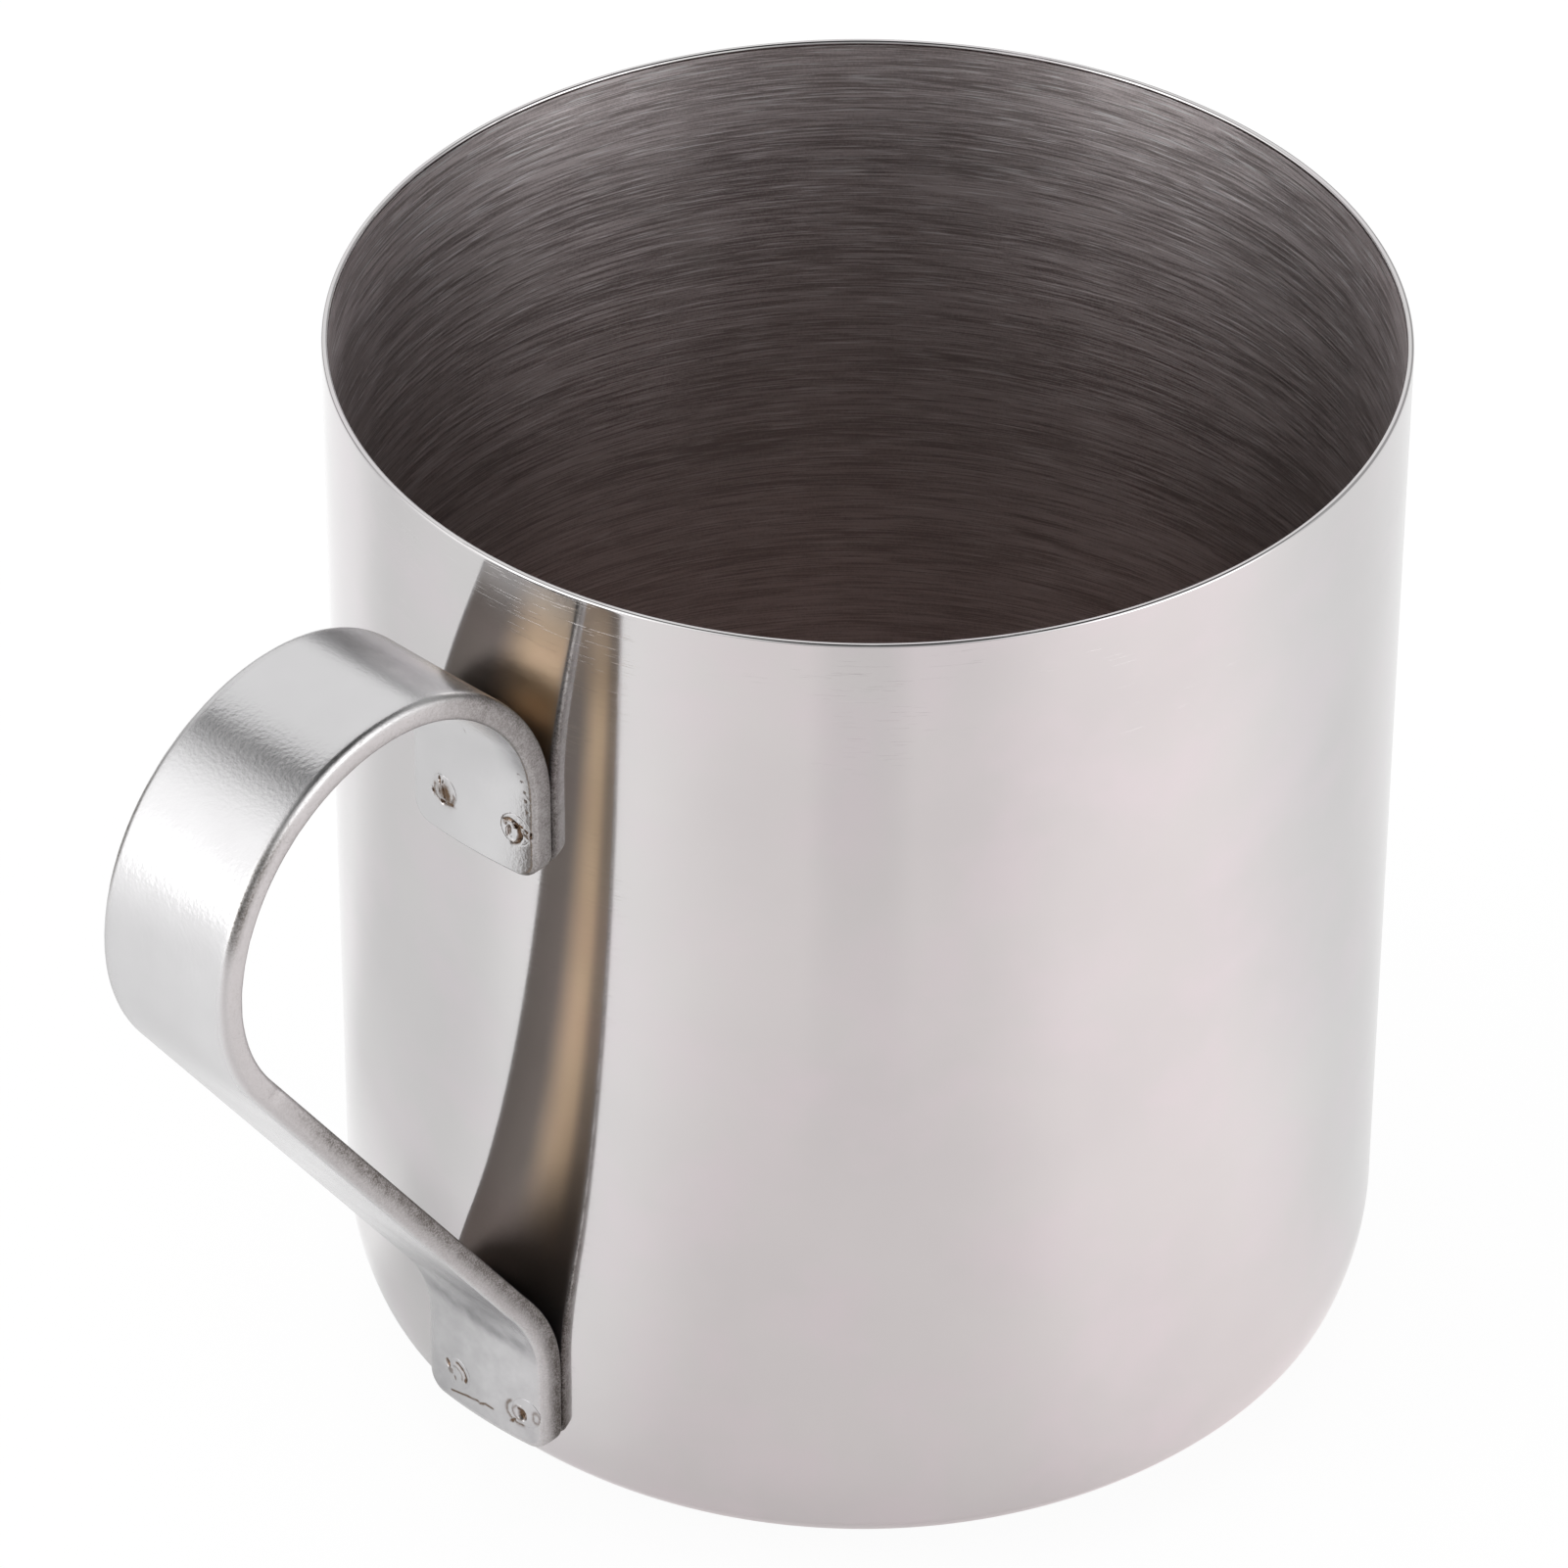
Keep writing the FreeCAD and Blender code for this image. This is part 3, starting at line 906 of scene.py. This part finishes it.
def makeStrap():
    thick, edges = strap["thickness"], strap["edgeRound"]
    columns = strap["columns"]
    points, faces = [], []
    finish = {key: [] for key in strapFinish["marks"]}

    def put(along, across, depth, **tints):
        points.append(strapPlace(along, across, depth))
        for key, values in finish.items():
            values.append(tints.get(key, 0.0))
        return len(points) - 1

    faceRows = []
    for face, depth in ((0, 0.0), (1, thick)):
        rows = []
        for along, half in strapStations(edges[face]):
            row = []
            for i in range(columns + 1):
                across = half * (2 * i / columns - 1)
                up, burn = tabMarks(along, across, face)
                sunk = weldSeat(along, across, face) - up
                burn += heatTint["lowerBurn"] * face * setsIn(along - bendEnd, *heatTint["lowerBurnFrom"])
                fromEdge = strap["width"] / 2 - edges[face] - abs(across)
                rim = wornEdge["onFace"] * runsOut(fromEdge, 0, wornEdge["faceReach"])
                row.append(put(along, across, depth + (sunk if face == 0 else -sunk), worn=rim, burn=burn,
                               straw=strawTint(along, face), gold=goldTint(along, across, face),
                               dullAndShade=dullAndShadeTint(along, across, face), sootAndShade=tabBorderDarkening(along, across, face)))
            rows.append(row)
        faceRows.append(rows)
    outer, inner = faceRows
    for k in range(len(outer) - 1):
        for i in range(columns):
            faces.append((outer[k][i], outer[k + 1][i], outer[k + 1][i + 1], outer[k][i + 1]))
            faces.append((inner[k][i], inner[k][i + 1], inner[k + 1][i + 1], inner[k + 1][i]))

    def border(rows):
        top = rows[0]
        right = [row[-1] for row in rows[1:-1]]
        bottom = rows[-1][::-1]
        left = [row[0] for row in rows[-2:0:-1]]
        return top + right + bottom + left

    # Rings between the two faces: rounding, flat side, rounding. Each has its share of the rounding's
    # inset, the rounding and its depth
    swings = [math.pi / 2 * i / strap["edgeSteps"] for i in range(1, strap["edgeSteps"] + 1)]
    outerEdge, innerEdge = edges
    layers = [(1 - math.sin(swing), outerEdge, outerEdge * (1 - math.cos(swing))) for swing in swings]
    for i in range(1, strap["sideSteps"]):
        layers.append((0.0, outerEdge, outerEdge + (thick - sum(edges)) * i / strap["sideSteps"]))
    for swing in swings[::-1]:
        layers.append((1 - math.sin(swing), innerEdge, thick - innerEdge * (1 - math.cos(swing))))
    previous = border(outer)
    for share, edge, depth in layers:
        inset = share * edge
        worn = 1 - wornEdge["roundingLoss"] * share
        stations = strapStations(inset)
        first, last = stations[0], stations[-1]
        outline = [(first[0], first[1] * (2 * i / columns - 1)) for i in range(columns + 1)]
        outline += stations[1:-1]
        outline += [(last[0], last[1] * (1 - 2 * i / columns)) for i in range(columns + 1)]
        outline += [(along, -half) for along, half in stations[-2:0:-1]]
        ring = []
        for along, across in outline:
            dent = min(edgeDent(along, across, depth), abs(across))
            across -= math.copysign(dent, across)
            ring.append(put(along, across, depth, worn=worn, sootAndShade=edgeSootAndShadeAt(along, across, depth)))
        for i in range(len(ring)):
            j = (i + 1) % len(ring)
            faces.append((previous[i], previous[j], ring[j], ring[i]))
        previous = ring
    innerBorder = border(inner)
    for i in range(len(innerBorder)):
        j = (i + 1) % len(innerBorder)
        faces.append((previous[i], previous[j], innerBorder[j], innerBorder[i]))
    piece = meshPiece("bent_strap", points, faces)
    for key, values in finish.items():
        piece.data.attributes.new(key, "FLOAT", "POINT").data.foreach_set("value", values)
    piece.data.materials.append(strapSteel("strapSteel"))
    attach(piece, "root")
    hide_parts("handle_strap")
    return piece


def makeWeld(name, material):
    spotAlong, spotAcross = weldSpot(name)
    upper = name.startswith("upper")
    face = 1 if upper else 0
    outside = strap["thickness"] if upper else 0.0
    points, faces = [], []
    # Burn, and the dull finish and painted shade of the tab around each weld
    finish = {"burn": [], "dullAndShade": []}

    def put(aside, up, height=None):
        along = spotAlong + (up if upper else -up)
        across = spotAcross + aside
        burn = 0.0
        if height is None:
            height, burn = tabMarks(along, across, face)
            height += nugget["proud"]
        depth = outside + height if upper else outside - height
        points.append(strapPlace(along, across, depth))
        finish["burn"].append(burn)
        finish["dullAndShade"].append(dullAndShadeTint(along, across, face))

    put(0, 0)
    spokes = nugget["spokes"]
    swings = [2 * math.pi * i / spokes for i in range(spokes)]
    for k in range(1, nugget["rings"] + 1):
        far = nugget["radius"] * k / nugget["rings"]
        for swing in swings:
            put(far * math.cos(swing), far * math.sin(swing))
    for swing in swings:
        put(nugget["radius"] * math.cos(swing), nugget["radius"] * math.sin(swing), -nugget["depth"])
    put(0, 0, -nugget["depth"])
    for i in range(spokes):
        faces.append((0, 1 + i, 1 + (i + 1) % spokes))
    for k in range(nugget["rings"]):
        here, there = 1 + k * spokes, 1 + (k + 1) * spokes
        for i in range(spokes):
            j = (i + 1) % spokes
            faces.append((here + i, there + i, there + j, here + j))
    last = 1 + nugget["rings"] * spokes
    for i in range(spokes):
        faces.append((last + i, len(points) - 1, last + (i + 1) % spokes))
    piece = meshPiece(name + "_weld_mark", points, faces)
    for key, values in finish.items():
        piece.data.attributes.new(key, "FLOAT", "POINT").data.foreach_set("value", values)
    piece.data.materials.append(material)
    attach(piece, "root")
    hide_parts(name + "_spot_weld")
    return piece


# Floor, light and surroundings

studio = {
    "floorSize": 8.0,       # metres
    "floorDrop": 0.02,      # mm below the standing plane
    "floorWhite": 0.86,
    "floorRoughness": 0.9,
    "plainToCamera": 0.94,  # how much of the floor is plain white to the camera
    "plainToMetal": 0.5,    # and to reflections
    "surround": 0.48,       # brightness all round, where 1 is white
    "overhead": 0.04,       # straight above, seen in reflections
    "overheadFrom": (0.70, 0.84),  # sines of the elevations between which it darkens
}

# Soft glows that the metal sees: azimuth from +X towards +Y, elevation, cosines where it starts and is
# full, strength
glows = {
    "sideGlow": (155, 25, 0.60, 1.0, 1.04),
    "sideCore": (162, 12, 0.93, 0.99, 1.6),
    "fillGlow": (-76, 20, 0.70, 1.0, 1.0),
    "fillCore": (-74, 12, 0.91, 0.99, 1.6),
}
# The same on the floor, as the metal sees it, each with the distances in mm over which it sets in
floorGlows = {
    "brightSide": ((-45, 0, 0.3, 0.9, 0.21), (0, 1)),
    "cameraSide": ((-140, 0, 0.75, 1.0, -0.26), (0, 1)),
    "cameraFar": ((-138, 0, 0.983, 1.0, -0.2), (80, 150)),
    "farSide": ((2, 0, 0.3, 0.95, -0.36), (0, 1)),
    "lampShade": ((131, 0, 0.86, 0.985, -0.35), (48, 62)),
    "lampSide": ((147, 0, 0.85, 1.0, 0.6), (70, 560)),
    "baseShade": ((153, 0, 0.945, 0.995, -0.5), (66, 54)),
    "underArm": ((140, 0, 0.88, 0.99, 0.13), (80, 50)),
}
warmFloor = {"glow": (-115, 0, 0.2, 0.85, 1.0), "color": (1.06, 0.95, 0.955)}
backPanel = (60, 38, 0.86, 0.91, 1.04)

# Lamps for the floor and other matt faces, which reflections don't see. They aim at a height in metres
lampAim = 0.05
lamps = {
    "topLamp": {"azimuth": 40, "elevation": 80, "distance": 1.6, "size": (1.5, 1.5), "radiance": 2.0},
    "sideLamp": {"azimuth": 152, "elevation": 22, "distance": 1.6, "size": (1.2, 0.9), "radiance": 1.4},
}


def glowNode(tree, direction, glow):
    azimuth, elevation, start, full, strength = glow
    facing = vectorNode(tree, "DOT_PRODUCT", direction, tuple(skyVector(azimuth, elevation)))
    spread = tree.nodes.new("ShaderNodeMapRange")
    spread.interpolation_type = "SMOOTHSTEP"
    for key, amount in (("From Min", start), ("From Max", full), ("To Min", 0), ("To Max", strength)):
        spread.inputs[key].default_value = amount
    tree.links.new(facing, spread.inputs["Value"])
    return spread.outputs[0]


def makeFloor():
    half = studio["floorSize"] / 2 / mm
    corners = [(-half, -half, 0), (half, -half, 0), (half, half, 0), (-half, half, 0)]
    floor = meshPiece("studio_floor", corners, [(0, 1, 2, 3)])
    floor.location.z = -studio["floorDrop"] * mm
    material, tree, shader = newMaterial("floorPaper")
    white = studio["floorWhite"]
    shader.inputs["Base Color"].default_value = (white, white, white, 1)
    shader.inputs["Roughness"].default_value = studio["floorRoughness"]
    shader.inputs["Specular IOR Level"].default_value = 0.0
    path = tree.nodes.new("ShaderNodeLightPath")
    glossy = path.outputs["Is Glossy Ray"]
    seen = mathNode(tree, "MAXIMUM", path.outputs["Is Camera Ray"], path.outputs["Is Transmission Ray"])
    seen = mathNode(tree, "MULTIPLY", seen, studio["plainToCamera"])
    mirrored = mathNode(tree, "MULTIPLY", glossy, studio["plainToMetal"])
    plain = tree.nodes.new("ShaderNodeEmission")
    place = objectPlace(tree)[0]
    toward = vectorNode(tree, "NORMALIZE", place)
    away = vectorNode(tree, "LENGTH", place)
    uneven = 0.0
    for glow, reach in floorGlows.values():
        uneven = mathNode(tree, "MULTIPLY_ADD", rampNode(tree, away, *reach, 0, 1),
                          glowNode(tree, toward, glow), uneven)
    tree.links.new(mathNode(tree, "MULTIPLY_ADD", uneven, glossy, 1.0), plain.inputs["Strength"])
    warm = mathNode(tree, "MULTIPLY", glowNode(tree, toward, warmFloor["glow"]), glossy)
    tree.links.new(mixColor(tree, warm, (1, 1, 1), warmFloor["color"]), plain.inputs["Color"])
    mix = tree.nodes.new("ShaderNodeMixShader")
    tree.links.new(mathNode(tree, "MAXIMUM", seen, mirrored), mix.inputs[0])
    tree.links.new(shader.outputs[0], mix.inputs[1])
    tree.links.new(plain.outputs[0], mix.inputs[2])
    tree.links.new(mix.outputs[0], tree.nodes["Material Output"].inputs["Surface"])
    floor.data.materials.append(material)


def makeWorld():
    world = bpy.data.worlds.new("studioSurround")
    scene.world = world
    world.use_nodes = True
    tree = world.node_tree
    background = tree.nodes["Background"]
    coords = tree.nodes.new("ShaderNodeTexCoord")
    direction = coords.outputs["Generated"]
    split = tree.nodes.new("ShaderNodeSeparateXYZ")
    tree.links.new(direction, split.inputs[0])
    path = tree.nodes.new("ShaderNodeLightPath")
    around = rampNode(tree, split.outputs[2], *studio["overheadFrom"], studio["surround"], studio["overhead"])
    mirrored = path.outputs["Is Glossy Ray"]
    matt = mathNode(tree, "SUBTRACT", 1.0, mirrored)
    around = mathNode(tree, "MAXIMUM", around, mathNode(tree, "MULTIPLY", matt, studio["surround"]))
    for glow in glows.values():
        around = mathNode(tree, "ADD", around, glowNode(tree, direction, glow))
    around = mathNode(tree, "MAXIMUM", around, glowNode(tree, direction, backPanel))
    seen = mathNode(tree, "MAXIMUM", path.outputs["Is Camera Ray"], path.outputs["Is Transmission Ray"])
    unseen = mathNode(tree, "SUBTRACT", 1.0, seen)
    strength = mathNode(tree, "MULTIPLY_ADD", around, unseen, seen)
    background.inputs["Color"].default_value = (1, 1, 1, 1)
    tree.links.new(strength, background.inputs["Strength"])


def makeLamps():
    for name, lamp in lamps.items():
        light = bpy.data.lights.new(name, "AREA")
        light.shape = "RECTANGLE"
        light.size, light.size_y = lamp["size"]
        light.energy = lamp["radiance"] * math.pi * light.size * light.size_y
        holder = bpy.data.objects.new(name, light)
        scene.collection.objects.link(holder)
        toward = skyVector(lamp["azimuth"], lamp["elevation"])
        holder.location = Vector((0, 0, lampAim)) + toward * lamp["distance"]
        holder.rotation_mode = "QUATERNION"
        holder.rotation_quaternion = (-toward).to_track_quat("-Z", "Y")
        holder.visible_camera = False
        holder.visible_glossy = False


placeCamera()
print("camera placed")
makeCup()
print("cup drawn")
makeStrap()
print("strap bent, length", round(strapLength, 1), "mm")
weldMaterial = strapSteel("weldSteel")
for weldName in welds:
    makeWeld(weldName, weldMaterial)
print("spot welds made")
makeFloor()
makeWorld()
makeLamps()
print("studio lit")
scene.view_settings.view_transform = "Standard"
